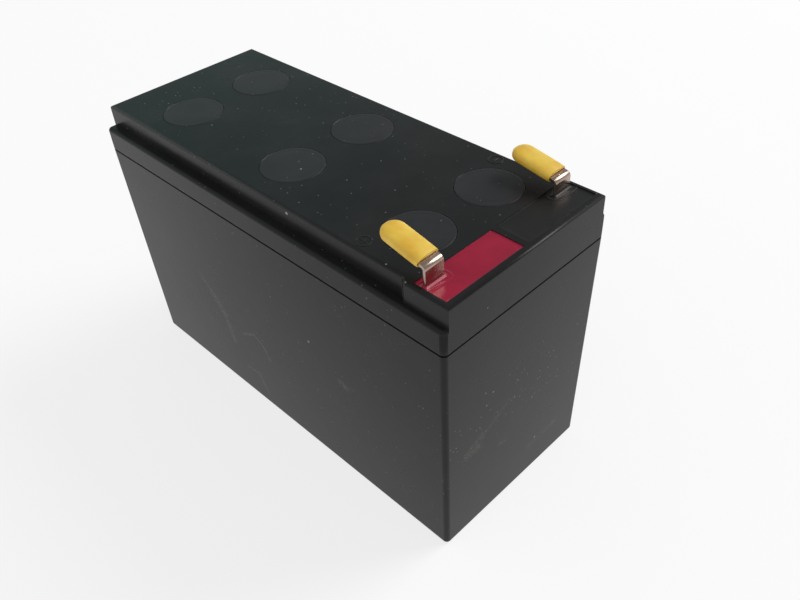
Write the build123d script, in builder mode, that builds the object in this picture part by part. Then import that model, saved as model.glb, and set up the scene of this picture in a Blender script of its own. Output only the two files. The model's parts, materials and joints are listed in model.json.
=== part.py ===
from build123d import *
import math
import os

# A six-cell sealed lead acid battery, in millimetres. +X points to the terminal end, -Y to the long
# side with the positive terminal, +Z up. The origin is on the floor, under the middle of the case.

os.makedirs("parts", exist_ok=True)

# Case outside
case_length = 151.0
case_width = 65.0
corner_radius = 1.5
container_height = 80.0  # from the floor to the lid's lower edge
band_height = 7.4  # from the lid's lower edge to its ledges
raised_height = 6.6  # from the ledges to the top of the lid
outer_draft = 0.9  # degrees, the container narrows downwards
bottom_edge_radius = 1.2
seam_gap = 0.6  # dark shadow line between container and lid
rim_radius = 0.9  # round on the lid's top edges and on the corners of its raised part
ledge_edge_chamfer = 0.45  # on the outer edges of the ledges

# Ledges along the long sides, wide beside the cells and narrow beside the terminals
wide_ledge = 3.35
narrow_ledge = 1.8
jog_from_end = 16.3  # to the inner corner of the slanted step between the two
jog_run = 1.8

# Case inside
outer_wall = 2.5
floor_thickness = 2.5
partition_wall = 1.6
cell_draft = 0.3  # degrees, each cell narrows downwards
cells_along = 3
cells_across = 2

# Tongue on the container and groove in the lid
shoulder_width = 1.3
tongue_height = 2.5
tongue_corner_radius = 0.5
groove_clearance = 0.1
groove_lip = 0.9

# Lid inside
top_thickness = 2.5
ledge_thickness = 2.0
hollow_corner_radius = 1.0

# Vents: a cover disc over a rubber cap on a tube, one for each cell
cover_radius = 9.6
cover_thickness = 1.5
cover_clearance = 0.12
cover_seat_width = 1.1
vent_shift_out = 0.8  # from the middle of an end cell towards the end of the case
vent_shift_in = 1.7  # from the middle of a cell towards the centre line
vent_cup_wall = 1.2
vent_tube_radius = 3.2
vent_bore_radius = 1.6
cap_radius = 4.6
cap_height = 6.0
cap_top = 1.0
cap_clearance = 0.06

# Wells for the terminals
well_end_wall = 2.0
well_side_wall = 1.5
well_middle_wall = 2.0
well_cell_wall = 1.5
well_floor_wall = 1.5
well_length = 10.5
well_depth = 8.0
seal_drop = 0.4  # the epoxy stops this far below the lid's top

# Terminals: flat tabs bent from strip
tab_width = 6.35
tab_thickness = 0.8
tab_length = 12.0  # from the bend to the tip
tab_bend_radius = 1.0  # on the middle line of the strip
tab_tip_chamfer = 1.2
tab_hole_radius = 0.85
tab_hole_from_tip = 4.0
positive_from_end = 9.0  # from the end of the case to the leg
positive_from_side = 5.2  # from the side of the raised part to the middle of the leg
positive_rise = 5.3  # from the lid's top to the corner of the bend
positive_tilt = 12.5  # degrees above level
negative_from_end = 9.6
negative_from_side = 5.9
negative_rise = 3.9
negative_tilt = 10.0
foot_lift = 2.5
foot_margin = 1.2
foot_hole_clearance = 0.05

# Sleeves
sleeve_length = 14.2
sleeve_width = 7.3
sleeve_thickness = 3.4
sleeve_from_bend = 1.9
sleeve_fit = 0.08

# Plates, as stacked in each cell
positives_per_cell = 4
positive_thickness = 2.6
negative_thickness = 1.7
stack_clearance = 0.05
plate_side_gap = 1.9
separator_side_gap = 0.6
separator_fold = 0.8  # cut of the corners where the mat folds
head_space = 13.8  # from the top of the plates to the lid's lower edge
separator_stand = 1.2  # the mat stands this far above the plates
lug_width = 8.0
lug_thickness = 1.2
lug_inset = 5.5  # from the plate's edge to the middle of its lug

# Lead straps, weld studs and posts
strap_lift = 2.0
strap_thickness = 3.5
strap_margin = 1.0  # lead round the lugs and the posts
lug_in_strap = 2.5
riser_height = 9.0
riser_thickness = 3.0
riser_width = 12.0
wall_gap = 0.15
stud_radius = 3.0
stud_clearance = 0.05
post_radius = 3.2
post_neck_radius = 2.4
post_head = 0.6
post_clearance = 0.2
post_from_middle = 12.0

# Levels
shoulder_level = container_height - seam_gap
tongue_level = shoulder_level + tongue_height
ledge_level = container_height + band_height
lid_level = ledge_level + raised_height
ceiling_level = lid_level - top_thickness
ledge_ceiling_level = ledge_level - ledge_thickness
cap_seat_level = lid_level - cover_thickness - cap_height
well_floor_level = lid_level - well_depth
seal_level = lid_level - seal_drop
foot_level = well_floor_level + foot_lift

# Cells
cell_length = (case_length - 2 * outer_wall - (cells_along - 1) * partition_wall) / cells_along
cell_width = (case_width - 2 * outer_wall - (cells_across - 1) * partition_wall) / cells_across
pitch_x = cell_length + partition_wall
pitch_y = cell_width + partition_wall
cell_taper = (tongue_level - floor_thickness) * math.tan(math.radians(cell_draft))

# Plate stack
stack_width = cell_width - 2 * cell_taper - 2 * stack_clearance
negatives_per_cell = positives_per_cell + 1
lead_width = positives_per_cell * positive_thickness + negatives_per_cell * negative_thickness
mat_thickness = (stack_width - lead_width) / (2 * positives_per_cell)
plate_pitch = positive_thickness + negative_thickness + 2 * mat_thickness
plate_bottom = floor_thickness + mat_thickness
plate_top = container_height - head_space
plate_width = cell_length - 2 * cell_taper - 2 * plate_side_gap
mat_width = cell_length - 2 * cell_taper - 2 * separator_side_gap
lug_x = plate_width / 2 - lug_inset
strap_level = plate_top + strap_lift
stud_level = strap_level + riser_height - stud_radius - stud_clearance

# Terminals and wells
end_x = case_length / 2
raised_half_width = case_width / 2 - narrow_ledge
inner_half_width = case_width / 2 - wide_ledge
jog_x = end_x - jog_from_end
well_end_x = end_x - well_end_wall
well_start_x = well_end_x - well_length
well_x = (well_start_x + well_end_x) / 2
well_side_y = raised_half_width - well_side_wall

# The six cells in the order of the current, from the positive end and back along the other row
front_row = [(pitch_x * (1 - column), -pitch_y / 2, 1) for column in range(cells_along)]
back_row = [(-x, -y, -1) for x, y, side in front_row]
cells = front_row + back_row


def sign(value):
    """Gives -1, 0 or 1, so that a shift points away from the middle of the case."""
    return (value > 0) - (value < 0)


def write(builder, name):
    """Labels a finished piece and writes it to its own file."""
    builder.part.label = name
    export_step(builder.part, f"parts/{name}.step")


def vent_centre(cell):
    """Gives the place of a cell's vent on the lid."""
    x, y, side = cell
    return (x + sign(x) * vent_shift_out, y - sign(y) * vent_shift_in)


def lies_outside(edge):
    """Tells whether an edge of the lid lies beyond the raised part, along a long side."""
    return abs(edge.center().Y) > raised_half_width


def cell_grid():
    """Gives the middle of every cell, for sketches on the case."""
    return GridLocations(pitch_x, pitch_y, cells_along, cells_across)


def build_container():
    """Open box with six cells, a tongue round its rim and weld holes in its partitions."""
    with BuildPart() as container:
        with BuildSketch(Plane.XY):
            Rectangle(case_length, case_width)
        extrude(amount=shoulder_level)
        outer_walls = container.faces().filter_by(Axis.Z, reverse=True)
        draft(outer_walls, Plane.XY.offset(shoulder_level), -outer_draft)
        fillet(container.edges().group_by(Axis.Z)[1], corner_radius)
        fillet(container.faces().sort_by(Axis.Z)[0].edges(), bottom_edge_radius)
        with BuildSketch(Plane.XY.offset(shoulder_level)):
            RectangleRounded(
                case_length - 2 * shoulder_width,
                case_width - 2 * shoulder_width,
                tongue_corner_radius,
            )
        extrude(amount=tongue_height)
        with BuildSketch(Plane.XY.offset(tongue_level)):
            with cell_grid():
                Rectangle(cell_length, cell_width)
        extrude(amount=floor_thickness - tongue_level, mode=Mode.SUBTRACT)
        cell_walls = container.faces(Select.LAST).filter_by(Axis.Z, reverse=True)
        draft(cell_walls, Plane.XY.offset(tongue_level), cell_draft)
        # weld holes between neighbours along the rows
        for partition_x in (-pitch_x / 2, pitch_x / 2):
            with BuildSketch(Plane.YZ.offset(partition_x)):
                with Locations((-pitch_y / 2, stud_level), (pitch_y / 2, stud_level)):
                    Circle(stud_radius)
            extrude(amount=partition_wall, both=True, mode=Mode.SUBTRACT)
        # weld hole between the two rows, at the far end
        with BuildSketch(Plane.XZ):
            with Locations((-pitch_x - lug_x, stud_level)):
                Circle(stud_radius)
        extrude(amount=partition_wall, both=True, mode=Mode.SUBTRACT)
    write(container, "container")


def build_lid():
    """Hollow moulded cover with a raised top, vent cups, terminal wells and a sealing groove."""
    hollow_inset = outer_wall + groove_clearance + groove_lip
    hollow_length = case_length - 2 * hollow_inset
    rib_thickness = partition_wall + 2 * groove_clearance + 2 * groove_lip
    rib_height = ceiling_level - container_height
    with BuildPart() as lid:
        with BuildSketch(Plane.XY.offset(container_height)):
            RectangleRounded(case_length, case_width, corner_radius)
        extrude(amount=lid_level - container_height)
        # ledges, cut down from the top on both long sides
        with BuildSketch(Plane.XY.offset(ledge_level)):
            Rectangle(2 * case_length, 2 * case_width)
            with BuildLine():
                Polyline(
                    (-case_length, 0),
                    (-case_length, inner_half_width),
                    (jog_x, inner_half_width),
                    (jog_x + jog_run, raised_half_width),
                    (case_length, raised_half_width),
                    (case_length, 0),
                )
                mirror(about=Plane.XZ)
            make_face(mode=Mode.SUBTRACT)
        extrude(amount=2 * raised_height, mode=Mode.SUBTRACT)
        ledge_edges = lid.edges().filter_by_position(Axis.Z, ledge_level, ledge_level)
        chamfer(ledge_edges.filter_by(lies_outside), ledge_edge_chamfer)
        raised_corners = lid.edges().filter_by(Axis.Z).group_by(Axis.Z)[-1].group_by(Axis.X)
        rim_edges = lid.faces().sort_by(Axis.Z)[-1].edges()
        fillet(rim_edges + raised_corners[0] + raised_corners[-1], rim_radius)
        # hollow under the band, and the narrower hollow under the raised top
        with BuildSketch(Plane.XY.offset(container_height)):
            RectangleRounded(
                hollow_length, case_width - 2 * hollow_inset, hollow_corner_radius
            )
        extrude(amount=ledge_ceiling_level - container_height, mode=Mode.SUBTRACT)
        with BuildSketch(Plane.XY.offset(container_height)):
            RectangleRounded(
                hollow_length, 2 * (inner_half_width - outer_wall), hollow_corner_radius
            )
        extrude(amount=rib_height, mode=Mode.SUBTRACT)
        # ribs over the partitions
        with BuildSketch(Plane.XY.offset(container_height)):
            Rectangle(hollow_length, rib_thickness)
            with GridLocations(pitch_x, 0, cells_along - 1, 1):
                Rectangle(rib_thickness, case_width - 2 * hollow_inset)
        extrude(amount=ledge_ceiling_level - container_height)
        with BuildSketch(Plane.XY.offset(container_height)):
            Rectangle(hollow_length, rib_thickness)
            with GridLocations(pitch_x, 0, cells_along - 1, 1):
                Rectangle(rib_thickness, 2 * inner_half_width - outer_wall)
        extrude(amount=rib_height)
        # blocks that hold the wells and the vents
        with BuildSketch(Plane.XY.offset(well_floor_level - well_floor_wall)):
            with Locations((well_start_x - well_cell_wall, 0)):
                Rectangle(
                    well_cell_wall + well_length + well_end_wall / 2,
                    2 * well_side_y + well_side_wall,
                    align=(Align.MIN, Align.CENTER),
                )
        extrude(amount=well_depth)
        with BuildSketch(Plane.XY.offset(cap_seat_level - vent_cup_wall)):
            with Locations([vent_centre(cell) for cell in cells]):
                Circle(cover_radius + cover_clearance + vent_cup_wall)
        extrude(amount=vent_cup_wall + cap_height)
        # vent cups, each with a seat for the cover and a tube for the cap
        with BuildSketch(Plane.XY.offset(lid_level)):
            with Locations([vent_centre(cell) for cell in cells]):
                Circle(cover_radius + cover_clearance)
        extrude(amount=-cover_thickness, mode=Mode.SUBTRACT)
        with BuildSketch(Plane.XY.offset(lid_level)):
            with Locations([vent_centre(cell) for cell in cells]):
                Circle(cover_radius - cover_seat_width)
        extrude(amount=-cover_thickness - cap_height, mode=Mode.SUBTRACT)
        with BuildSketch(Plane.XY.offset(cap_seat_level)):
            with Locations([vent_centre(cell) for cell in cells]):
                Circle(vent_tube_radius)
        extrude(amount=cap_height - cap_top)
        with BuildSketch(Plane.XY.offset(cap_seat_level + cap_height)):
            with Locations([vent_centre(cell) for cell in cells]):
                Circle(vent_bore_radius)
        extrude(amount=-2 * cap_height, mode=Mode.SUBTRACT)
        # wells, each with a hole for its post
        for row in (-1, 1):
            with BuildSketch(Plane.XY.offset(lid_level)):
                with Locations((well_x, row * (well_side_y + well_middle_wall / 2) / 2)):
                    Rectangle(well_length, well_side_y - well_middle_wall / 2)
            extrude(amount=-well_depth, mode=Mode.SUBTRACT)
            with BuildSketch(Plane.XY.offset(well_floor_level)):
                with Locations((well_x, row * post_from_middle)):
                    Circle(post_radius + post_clearance)
            extrude(amount=-2 * well_floor_wall, mode=Mode.SUBTRACT)
        # sealing groove over the container's tongue and partitions
        with BuildSketch(Plane.XY.offset(container_height)):
            RectangleRounded(
                case_length - 2 * (shoulder_width - groove_clearance),
                case_width - 2 * (shoulder_width - groove_clearance),
                tongue_corner_radius + groove_clearance,
            )
            with cell_grid():
                Rectangle(
                    cell_length - 2 * groove_clearance,
                    cell_width - 2 * groove_clearance,
                    mode=Mode.SUBTRACT,
                )
        extrude(amount=tongue_level - container_height, mode=Mode.SUBTRACT)
    write(lid, "lid")


def build_vents():
    """Cover discs flush with the lid, and the rubber caps that they hold down."""
    for number, cell in enumerate(cells, 1):
        x, y = vent_centre(cell)
        with BuildPart() as vent_cover:
            with BuildSketch(Plane((x, y, lid_level - cover_thickness))):
                Circle(cover_radius)
            extrude(amount=cover_thickness)
        write(vent_cover, f"vent_cover_{number}")
        with BuildPart() as valve_cap:
            with BuildSketch(Plane((x, y, cap_seat_level))):
                Circle(cap_radius)
            extrude(amount=cap_height)
            with BuildSketch(Plane((x, y, cap_seat_level))):
                Circle(vent_tube_radius + cap_clearance)
            extrude(amount=cap_height - cap_top, mode=Mode.SUBTRACT)
        write(valve_cap, f"valve_cap_{number}")


def tab_plane(bend, tilt):
    """Plane of a tab: origin at the bend, local X along the tab to its tip, local Z through it."""
    lean = math.radians(tilt)
    return Plane(
        origin=bend,
        x_dir=(-math.cos(lean), 0, math.sin(lean)),
        z_dir=(math.sin(lean), 0, math.cos(lean)),
    )


def build_terminal(row, bend, tilt):
    """Strip bent up out of the well and over, with an arm to the post at its foot."""
    lean = math.radians(tilt)
    tab = tab_plane(bend, tilt)
    through_tab = Axis(tab.origin, tab.z_dir)
    leg_x, leg_y, bend_level = bend
    foot_middle = foot_level + tab_thickness / 2
    foot_end_x = well_end_x - foot_margin
    leg_start_y = abs(leg_y) + tab_width / 2
    arm_end_y = post_from_middle - post_radius - foot_margin
    with BuildPart() as terminal:
        with BuildSketch(Plane.XZ.offset(-leg_y)):
            with BuildLine():
                FilletPolyline(
                    (foot_end_x, foot_middle),
                    (leg_x, foot_middle),
                    (leg_x, bend_level),
                    (
                        leg_x - tab_length * math.cos(lean),
                        bend_level + tab_length * math.sin(lean),
                    ),
                    radius=tab_bend_radius,
                )
            trace(line_width=tab_thickness)
        extrude(amount=tab_width / 2, both=True)
        # arm of the foot, from the leg to the post
        with BuildSketch(Plane.XY.offset(foot_level)):
            with Locations((foot_end_x, row * (leg_start_y + arm_end_y) / 2)):
                Rectangle(
                    foot_end_x - leg_x - tab_bend_radius,
                    leg_start_y - arm_end_y,
                    align=(Align.MAX, Align.CENTER),
                )
            with Locations((foot_end_x, row * (post_from_middle + post_radius + arm_end_y) / 2)):
                Rectangle(
                    foot_end_x - well_start_x - foot_margin,
                    post_from_middle + post_radius - arm_end_y,
                    align=(Align.MAX, Align.CENTER),
                )
        extrude(amount=tab_thickness)
        with BuildSketch(Plane.XY.offset(foot_level)):
            with Locations((well_x, row * post_from_middle)):
                Circle(post_neck_radius + foot_hole_clearance)
        extrude(amount=tab_thickness, mode=Mode.SUBTRACT)
        # locking hole in the tab, and its cut corners
        with BuildSketch(tab):
            with Locations((tab_length - tab_hole_from_tip, 0)):
                Circle(tab_hole_radius)
        extrude(amount=tab_thickness, both=True, mode=Mode.SUBTRACT)
        tip_edges = terminal.faces().sort_by(Axis.X)[0].edges().filter_by(through_tab)
        chamfer(tip_edges, tab_tip_chamfer)
    return terminal


def build_sleeve(bend, tilt):
    """Soft cap with a rounded tip and a flat slot, pushed over the tab."""
    tab = tab_plane(bend, tilt)
    mouth = Plane(
        origin=tab.origin + tab.x_dir * sleeve_from_bend, x_dir=tab.y_dir, z_dir=tab.x_dir
    )
    tip_radius = sleeve_width / 2
    with BuildPart() as sleeve:
        with BuildSketch(mouth):
            SlotOverall(sleeve_width, sleeve_thickness)
        extrude(amount=sleeve_length)
        with BuildSketch(tab):
            with Locations((sleeve_from_bend, 0)):
                Rectangle(
                    sleeve_length - tip_radius,
                    sleeve_width,
                    align=(Align.MIN, Align.CENTER),
                )
            with Locations((sleeve_from_bend + sleeve_length - tip_radius, 0)):
                Circle(tip_radius)
        extrude(amount=sleeve_thickness, both=True, mode=Mode.INTERSECT)
        with BuildSketch(tab):
            Rectangle(
                tab_length + sleeve_fit,
                tab_width + 2 * sleeve_fit,
                align=(Align.MIN, Align.CENTER),
            )
        extrude(amount=tab_thickness / 2 + sleeve_fit, both=True, mode=Mode.SUBTRACT)
    return sleeve


def build_plates():
    """Pasted plates and the folded glass mats between them, for every cell."""
    positive_places = [
        (index - (positives_per_cell - 1) / 2) * plate_pitch for index in range(positives_per_cell)
    ]
    negative_places = [
        (index - positives_per_cell / 2) * plate_pitch for index in range(negatives_per_cell)
    ]
    mat_half = positive_thickness / 2 + mat_thickness
    for number, cell in enumerate(cells, 1):
        x, y, side = cell
        for name, places, thickness, lug_side in (
            ("positive_plates", positive_places, positive_thickness, side),
            ("negative_plates", negative_places, negative_thickness, -side),
        ):
            with BuildPart() as plates:
                for place in places:
                    with BuildSketch(Plane.XZ.offset(-(y + place))):
                        with Locations((x, plate_bottom)):
                            Rectangle(
                                plate_width,
                                plate_top - plate_bottom,
                                align=(Align.CENTER, Align.MIN),
                            )
                    extrude(amount=thickness / 2, both=True)
                    with BuildSketch(Plane.XZ.offset(-(y + place))):
                        with Locations((x + lug_side * lug_x, plate_top)):
                            Rectangle(
                                lug_width,
                                strap_lift + lug_in_strap,
                                align=(Align.CENTER, Align.MIN),
                            )
                    extrude(amount=lug_thickness / 2, both=True)
            write(plates, f"{name}_{number}")
        with BuildPart() as separators:
            for place in positive_places:
                with BuildSketch(Plane.YZ.offset(x)):
                    with Locations((y + place, floor_thickness)):
                        Rectangle(
                            2 * mat_half,
                            plate_top + separator_stand - floor_thickness,
                            align=(Align.CENTER, Align.MIN),
                        )
                    with Locations((y + place, plate_bottom)):
                        Rectangle(
                            positive_thickness,
                            plate_top - plate_bottom + 2 * separator_stand,
                            align=(Align.CENTER, Align.MIN),
                            mode=Mode.SUBTRACT,
                        )
                extrude(amount=mat_width / 2, both=True)
            folds = separators.edges().filter_by(Axis.X).group_by(Axis.Z)[0]
            chamfer(folds, separator_fold)
        write(separators, f"separators_{number}")


def build_strap(cell, number, positive):
    """Lead bar cast on the lugs of one polarity, with its riser and stud, or its post."""
    x, y, side = cell
    lug_side = side if positive else -side
    count = positives_per_cell if positive else negatives_per_cell
    thickness = positive_thickness if positive else negative_thickness
    span = (count - 1) * plate_pitch
    bar_half = span / 2 + thickness / 2
    bar_width = lug_width + 2 * strap_margin
    lug_centre = x + lug_side * lug_x
    first = number == 1 and positive
    last = number == len(cells) and not positive
    crosses = (number == cells_along and not positive) or (number == cells_along + 1 and positive)
    with BuildPart() as strap:
        with BuildSketch(Plane.XY.offset(strap_level)):
            with Locations((lug_centre, y)):
                Rectangle(bar_width, 2 * bar_half)
        extrude(amount=strap_thickness)
        if first or last:
            row = sign(y)
            pad_half = post_radius + strap_margin
            pad_length = well_x + post_radius + strap_margin - lug_centre
            with BuildSketch(Plane.XY.offset(strap_level)):
                with Locations((lug_centre, row * post_from_middle)):
                    Rectangle(pad_length, 2 * pad_half, align=(Align.MIN, Align.CENTER))
            extrude(amount=strap_thickness)
            with BuildSketch(Plane.XY.offset(strap_level)):
                with Locations((well_x, row * post_from_middle)):
                    Circle(post_radius)
            extrude(amount=foot_level - strap_level)
            with BuildSketch(Plane.XY.offset(foot_level)):
                with Locations((well_x, row * post_from_middle)):
                    Circle(post_neck_radius)
            extrude(amount=tab_thickness + post_head)
        elif crosses:
            # riser against the wall between the rows
            face_y = y - sign(y) * (cell_width / 2 - wall_gap)
            with BuildSketch(Plane.XY.offset(strap_level)):
                with Locations((lug_centre, (face_y + y) / 2)):
                    Rectangle(bar_width, abs(face_y - y))
            extrude(amount=strap_thickness)
            with BuildSketch(Plane.XY.offset(strap_level)):
                with Locations((lug_centre, face_y + sign(y) * riser_thickness / 2)):
                    Rectangle(bar_width, riser_thickness)
            extrude(amount=riser_height)
            with BuildSketch(Plane.XZ.offset(-face_y)):
                with Locations((lug_centre, stud_level)):
                    Circle(stud_radius - stud_clearance)
            extrude(amount=sign(y) * (wall_gap + partition_wall / 2))
        else:
            # riser against the wall to the next cell of the row
            face_x = x + lug_side * (cell_length / 2 - wall_gap)
            with BuildSketch(Plane.XY.offset(strap_level)):
                with Locations(((face_x + lug_centre) / 2, y)):
                    Rectangle(abs(face_x - lug_centre), riser_width)
            extrude(amount=strap_thickness)
            with BuildSketch(Plane.XY.offset(strap_level)):
                with Locations((face_x - lug_side * riser_thickness / 2, y)):
                    Rectangle(riser_thickness, riser_width)
            extrude(amount=riser_height)
            with BuildSketch(Plane.YZ.offset(face_x)):
                with Locations((y, stud_level)):
                    Circle(stud_radius - stud_clearance)
            extrude(amount=lug_side * (wall_gap + partition_wall / 2))
        # the lugs stand in the bar
        with BuildSketch(Plane.XY.offset(strap_level)):
            with Locations((lug_centre, y)):
                with GridLocations(0, plate_pitch, 1, count):
                    Rectangle(lug_width, lug_thickness)
        extrude(amount=lug_in_strap, mode=Mode.SUBTRACT)
    return strap


def build_seal(row, terminal, strap):
    """Epoxy that fills a well round the terminal's foot and the post."""
    with BuildPart() as seal:
        with BuildSketch(Plane.XY.offset(well_floor_level)):
            with Locations((well_x, row * (well_side_y + well_middle_wall / 2) / 2)):
                Rectangle(well_length, well_side_y - well_middle_wall / 2)
        extrude(amount=seal_level - well_floor_level)
        add(terminal.part, mode=Mode.SUBTRACT)
        add(strap.part, mode=Mode.SUBTRACT)
    return seal


build_container()
build_lid()
build_vents()
build_plates()

straps = {}
for number, cell in enumerate(cells, 1):
    for kind in ("positive", "negative"):
        straps[kind, number] = build_strap(cell, number, kind == "positive")
        write(straps[kind, number], f"{kind}_strap_{number}")

for kind, row, from_end, from_side, rise, tilt, number in (
    ("positive", -1, positive_from_end, positive_from_side, positive_rise, positive_tilt, 1),
    ("negative", 1, negative_from_end, negative_from_side, negative_rise, negative_tilt, len(cells)),
):
    leg_x = end_x - from_end - tab_thickness / 2
    leg_y = row * (raised_half_width - from_side)
    bend = (leg_x, leg_y, lid_level + rise)
    terminal = build_terminal(row, bend, tilt)
    write(terminal, f"{kind}_terminal")
    write(build_seal(row, terminal, straps[kind, number]), f"{kind}_seal")
    write(build_sleeve(bend, tilt), f"{kind}_sleeve")
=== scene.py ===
# Sealed lead acid battery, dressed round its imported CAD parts.
# Metres throughout: +X to the terminal end, -Y to the positive side, +Z up.
import bmesh
import bpy
import json
import math
from mathutils import Matrix, Vector


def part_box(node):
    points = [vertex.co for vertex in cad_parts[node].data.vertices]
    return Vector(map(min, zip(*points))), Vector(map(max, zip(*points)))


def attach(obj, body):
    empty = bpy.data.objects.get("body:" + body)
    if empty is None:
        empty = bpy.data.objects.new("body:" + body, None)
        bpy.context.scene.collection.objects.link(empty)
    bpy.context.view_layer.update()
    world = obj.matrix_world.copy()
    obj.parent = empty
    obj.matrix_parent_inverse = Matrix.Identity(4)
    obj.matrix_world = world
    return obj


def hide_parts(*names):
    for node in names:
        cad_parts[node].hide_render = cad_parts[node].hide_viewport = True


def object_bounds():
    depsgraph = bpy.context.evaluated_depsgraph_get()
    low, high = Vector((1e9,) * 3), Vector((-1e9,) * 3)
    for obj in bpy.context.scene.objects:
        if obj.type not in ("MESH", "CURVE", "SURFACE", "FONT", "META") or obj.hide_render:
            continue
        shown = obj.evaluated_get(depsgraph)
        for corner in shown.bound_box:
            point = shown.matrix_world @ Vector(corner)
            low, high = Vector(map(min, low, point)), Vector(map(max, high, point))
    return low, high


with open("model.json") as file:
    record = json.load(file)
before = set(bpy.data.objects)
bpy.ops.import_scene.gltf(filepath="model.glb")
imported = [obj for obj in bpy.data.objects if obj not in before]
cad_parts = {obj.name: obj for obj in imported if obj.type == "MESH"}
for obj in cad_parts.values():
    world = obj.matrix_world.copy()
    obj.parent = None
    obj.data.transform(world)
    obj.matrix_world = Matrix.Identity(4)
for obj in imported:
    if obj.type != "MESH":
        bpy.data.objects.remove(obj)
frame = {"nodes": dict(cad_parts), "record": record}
cadLow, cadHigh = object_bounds()
nodes = frame["nodes"]
mounts = {mount["name"]: mount for mount in frame["record"]["mounts"]}
print("frame loaded:", len(nodes), "nodes")

mm = 0.001
cells = range(1, 7)
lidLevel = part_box("vent_cover_1")[1][2]
weldMm = 0.001  # points of a CAD mesh nearer than this are one


# sRGB hex to the linear values that shaders work in
def linearColour(hexCode):
    channels = [int(hexCode[start:start + 2], 16) / 255 for start in (1, 3, 5)]
    linear = [c / 12.92 if c <= 0.04045 else ((c + 0.055) / 1.055) ** 2.4 for c in channels]
    return (*linear, 1.0)


# texture scale for a pattern whose real size is given in mm
def perMm(size):
    return 1 / (size * mm)


# one node with its settings; an input is a value, a socket, or a node whose first output is linked
def addNode(tree, kind, inputs=None, **settings):
    node = tree.nodes.new(kind)
    for name, value in settings.items():
        setattr(node, name, value)
    for key, value in (inputs or {}).items():
        if isinstance(value, bpy.types.Node):
            value = next(socket for socket in value.outputs if socket.enabled)
        if isinstance(value, bpy.types.NodeSocket):
            tree.links.new(value, node.inputs[key])
        else:
            node.inputs[key].default_value = value
    return node


# empty node tree, and the object's own coordinates in metres
def startMaterial(name):
    material = bpy.data.materials.new(name)
    material.use_nodes = True
    tree = material.node_tree
    tree.nodes.clear()
    return material, tree, addNode(tree, "ShaderNodeTexCoord").outputs["Object"]


# Black ABS, injection moulded in a spark-eroded steel tool: the fine pits of the tool leave a satin
# black that mirrors the pale floor as a soft grey, under a thin haze, a scatter of fine dust and
# one painted glint.
absFinish = {
    "colour": "#202021", "greyed": "#262627", "rubbed": "#424243", "dustAndGlint": "#a5a297",
    "grainMm": 0.35, "grainDeepMm": 0.008,  # drawn coarser than the real 0.1 mm, so that it shows
    "sinkMm": 18.0, "sinkDeepMm": 0.05, "hazeMm": 20.0, "patchMm": 3.0, "scrapeMm": 1.1,
    "roughLow": 0.22, "roughHigh": 0.3, "specular": 0.12, "edgeMm": 0.35, "edgeShare": 0.3,
    "netMm": 1.5, "speckMm": 0.25, "speckFrom": 0.8, "speckShare": 0.5,
}
# the covers came from another tool, with a duller finish
coverFinish = {**absFinish, "colour": "#2b2b2d", "greyed": "#323234",
               "roughLow": 0.34, "roughHigh": 0.42}
# Single marks in mm on the container and the lid: white specks, a painted glint, and rubbed or
# scratched lines
whiteSpecksAndGlint = (
    {"at": (-38.0, -15.0, 94.0), "radius": 0.3, "share": 0.5},
    {"at": (3.7, -13.7, 94.2), "radius": 0.4, "share": 0.8},
    {"at": (15.8, -29.2, 92.3), "radius": 0.55, "share": 1.0},
    {"at": (53.2, -28.5, 94.0), "radius": 0.3, "share": 0.7},
    # painted glint: a white dot on the corner where the lid's top rim steps out, standing in for a
    # highlight
    {"at": (61.4, -30.2, 93.9), "radius": 0.3, "share": 0.6},
    {"at": (31.8, -4.0, 94.0), "radius": 0.25, "share": 0.5},
    {"at": (60.6, 5.3, 94.0), "radius": 0.25, "share": 0.5},
    {"at": (20.4, -32.0, 50.2), "radius": 0.5, "share": 0.8},
    {"at": (75.5, -16.9, 85.4), "radius": 0.3, "share": 0.33},
    {"at": (75.1, -16.3, 54.9), "radius": 0.4, "share": 0.28},
    {"at": (75.1, -13.0, 52.9), "radius": 0.45, "share": 0.33},
    {"at": (75.0, -15.5, 49.4), "radius": 0.4, "share": 0.33},
    {"at": (74.9, -3.2, 43.0), "radius": 0.4, "share": 0.33},
    {"at": (74.8, 5.6, 35.8), "radius": 0.4, "share": 0.28},
    {"at": (75.0, -2.2, 49.1), "radius": 0.4, "share": 0.28},
    {"at": (74.6, 9.3, 14.3), "radius": 0.6, "share": 0.33},
)
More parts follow.
